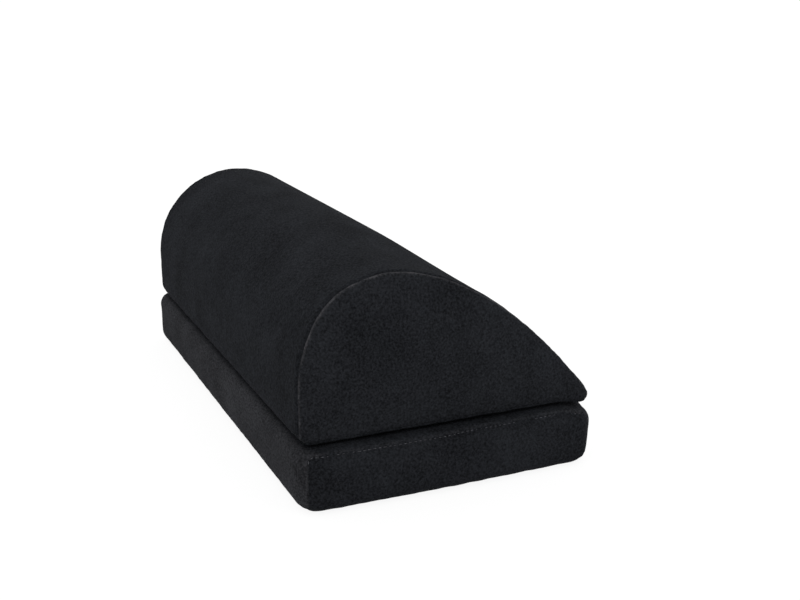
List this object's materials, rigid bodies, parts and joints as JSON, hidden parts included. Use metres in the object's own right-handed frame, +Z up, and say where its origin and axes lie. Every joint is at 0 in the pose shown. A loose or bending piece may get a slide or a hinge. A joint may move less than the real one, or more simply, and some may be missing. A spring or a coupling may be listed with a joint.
{
  "type": "footrest cushion",
  "caption": "Two-tier footrest cushion: a teardrop-section foam top, held by hook and loop on a flat foam slab, each in a zipped black plush cover.",
  "frame": {"origin": "on the floor, under the middle of the slab cushion", "axes": "+X along the cushion, +Y to the steep rounded back, -Y to the low front edge and the zips, +Z up"},
  "size_m": [0.44, 0.2359, 0.1677],
  "materials": {
    "plush": "short-nap black plush, matte with a soft sheen at grazing angles",
    "grip_cloth": "black cloth with moulded rubber dots",
    "lining_cloth": "black plush",
    "foam": "open-cell foam, off-white",
    "hook_tape": "black hook tape",
    "loop_tape": "black loop tape",
    "zip_tape": "woven black tape",
    "zip_teeth": "moulded black plastic",
    "zip_metal": "black enamelled zinc"
  },
  "bodies": {
    "base": {"base_foam_slab": "foam", "base_wrap_panel": "plush", "base_end_panel_left": "plush", "base_end_panel_right": "plush", "base_grip_panel": "grip_cloth", "base_hook_strips": "hook_tape", "base_zip_tape_upper": "zip_tape", "base_zip_tape_lower": "zip_tape", "base_zip_teeth_upper": "zip_teeth", "base_zip_teeth_lower": "zip_teeth", "base_zip_stops": "zip_metal"},
    "base_zip_slider": {"base_zip_slider": "zip_metal"},
    "base_zip_pull": {"base_zip_pull": "zip_metal"},
    "top": {"top_foam_core": "foam", "top_wrap_panel": "plush", "top_end_panel_left": "plush", "top_end_panel_right": "plush", "top_bottom_panel": "lining_cloth", "top_loop_strips": "loop_tape", "top_zip_tape_upper": "zip_tape", "top_zip_tape_lower": "zip_tape", "top_zip_teeth_upper": "zip_teeth", "top_zip_teeth_lower": "zip_teeth", "top_zip_stops": "zip_metal"},
    "top_zip_slider": {"top_zip_slider": "zip_metal"},
    "top_zip_pull": {"top_zip_pull": "zip_metal"}
  },
  "joints": [
    {"name": "top_lift", "type": "slide", "parent": "base", "child": "top", "axis": [0, 0, 1], "range_m": [0, 0.2]},
    {"name": "base_zip_slide", "type": "slide", "parent": "base", "child": "base_zip_slider", "axis": [-1, 0, 0], "range_m": [0, 0.362], "deforming": ["base_zip_teeth_upper", "base_zip_teeth_lower"]},
    {"name": "base_pull_swing", "type": "hinge", "parent": "base_zip_slider", "child": "base_zip_pull", "pos_m": [0.184, -0.1176, 0.0238], "axis": [0, 0, 1], "range_deg": [0, 175]},
    {"name": "top_zip_slide", "type": "slide", "parent": "top", "child": "top_zip_slider", "axis": [-1, 0, 0], "range_m": [0, 0.326], "deforming": ["top_zip_teeth_upper", "top_zip_teeth_lower"]},
    {"name": "top_pull_swing", "type": "hinge", "parent": "top_zip_slider", "child": "top_zip_pull", "pos_m": [0.173, -0.10965, 0.0569], "axis": [0, 0, 1], "range_deg": [0, 150]}
  ]
}
